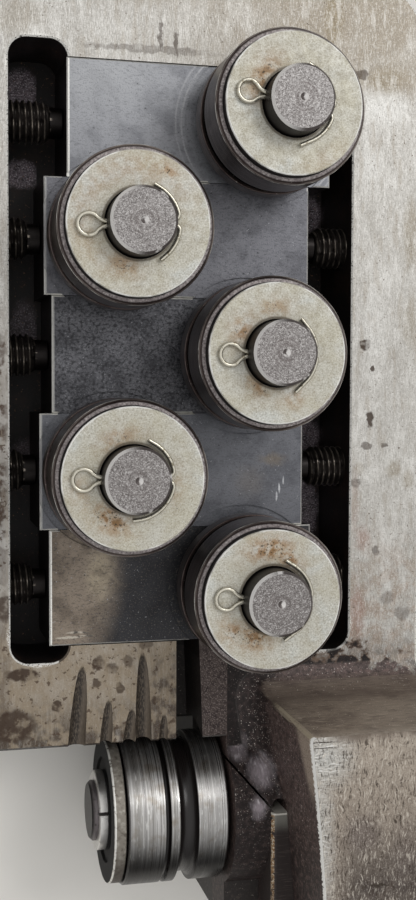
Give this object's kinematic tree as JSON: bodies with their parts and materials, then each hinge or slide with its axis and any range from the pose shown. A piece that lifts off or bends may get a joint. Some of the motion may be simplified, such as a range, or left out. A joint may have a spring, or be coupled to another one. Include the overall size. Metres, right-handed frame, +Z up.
{
  "type": "wire straightener",
  "caption": "Wire straightener head: staggered grooved rollers on screw-set slides in a cast bed, with an arm that carries a grooved guide roller.",
  "frame": {"origin": "on the underside of the bed, below the middle of the slide pocket", "axes": "+X across the wire, along the slides' travel; +Y along the wire, away from the guide roller; +Z up out of the bed's top face"},
  "size_m": [0.2351, 0.321, 0.1],
  "materials": {
    "bed_cast_iron": "ground top face with brown stains, rough cast sides",
    "slide_steel": "blued and oiled, ground",
    "pin_steel": "turned end, dark oil film",
    "roller_steel": "hardened, blackened and run smooth",
    "washer_steel": "pale with rust round the bore",
    "split_pin_steel": "bright drawn wire",
    "screw_steel": "oily black",
    "turned_steel": "bright turned",
    "rough_steel": "pitted",
    "bright_steel": "bright"
  },
  "bodies": {
    "bed": {"bed_casting": "bed_cast_iron", "guide_shaft": "pin_steel", "guide_washer": "rough_steel", "snap_ring": "bright_steel", "left_lock_nuts": "screw_steel", "right_lock_nuts": "screw_steel"},
    "guide_roller": {"guide_roller": "turned_steel"},
    "slide_1": {"slide_1": "slide_steel", "roller_pin_1": "pin_steel", "washer_1": "washer_steel", "split_pin_1": "split_pin_steel", "left_screw_1": "screw_steel", "right_screw_1": "screw_steel"},
    "roller_1": {"roller_1": "roller_steel"},
    "slide_2": {"slide_2": "slide_steel", "roller_pin_2": "pin_steel", "washer_2": "washer_steel", "split_pin_2": "split_pin_steel", "left_screw_2": "screw_steel", "right_screw_2": "screw_steel"},
    "roller_2": {"roller_2": "roller_steel"},
    "slide_3": {"slide_3": "slide_steel", "roller_pin_3": "pin_steel", "washer_3": "washer_steel", "split_pin_3": "split_pin_steel", "left_screw_3": "screw_steel", "right_screw_3": "screw_steel"},
    "roller_3": {"roller_3": "roller_steel"},
    "slide_4": {"slide_4": "slide_steel", "roller_pin_4": "pin_steel", "washer_4": "washer_steel", "split_pin_4": "split_pin_steel", "left_screw_4": "screw_steel", "right_screw_4": "screw_steel"},
    "roller_4": {"roller_4": "roller_steel"},
    "slide_5": {"slide_5": "slide_steel", "roller_pin_5": "pin_steel", "washer_5": "washer_steel", "split_pin_5": "split_pin_steel", "left_screw_5": "screw_steel", "right_screw_5": "screw_steel"},
    "roller_5": {"roller_5": "roller_steel"}
  },
  "joints": [
    {"name": "slide_1_adjust", "type": "slide", "parent": "bed", "child": "slide_1", "axis": [1, 0, 0], "range_m": [-0.0075, 0.0025]},
    {"name": "roller_1_spin", "type": "hinge", "parent": "slide_1", "child": "roller_1", "pos_m": [0.0255, 0.0756, 0.07], "axis": [0, 0, 1], "continuous": true},
    {"name": "slide_2_adjust", "type": "slide", "parent": "bed", "child": "slide_2", "axis": [-1, 0, 0], "range_m": [-0.0029, 0.005]},
    {"name": "roller_2_spin", "type": "hinge", "parent": "slide_2", "child": "roller_2", "pos_m": [-0.0225, 0.0378, 0.07], "axis": [0, 0, 1], "continuous": true},
    {"name": "slide_3_adjust", "type": "slide", "parent": "bed", "child": "slide_3", "axis": [1, 0, 0], "range_m": [-0.0029, 0.005]},
    {"name": "roller_3_spin", "type": "hinge", "parent": "slide_3", "child": "roller_3", "pos_m": [0.0205, 0, 0.07], "axis": [0, 0, 1], "continuous": true},
    {"name": "slide_4_adjust", "type": "slide", "parent": "bed", "child": "slide_4", "axis": [-1, 0, 0], "range_m": [-0.0029, 0.004]},
    {"name": "roller_4_spin", "type": "hinge", "parent": "slide_4", "child": "roller_4", "pos_m": [-0.0241, -0.0378, 0.07], "axis": [0, 0, 1], "continuous": true},
    {"name": "slide_5_adjust", "type": "slide", "parent": "bed", "child": "slide_5", "axis": [1, 0, 0], "range_m": [-0.0029, 0.005]},
    {"name": "roller_5_spin", "type": "hinge", "parent": "slide_5", "child": "roller_5", "pos_m": [0.0195, -0.0756, 0.07], "axis": [0, 0, 1], "continuous": true},
    {"name": "guide_roller_spin", "type": "hinge", "parent": "bed", "child": "guide_roller", "pos_m": [-0.004, -0.1545, 0.0354], "axis": [1, 0, 0], "continuous": true}
  ]
}
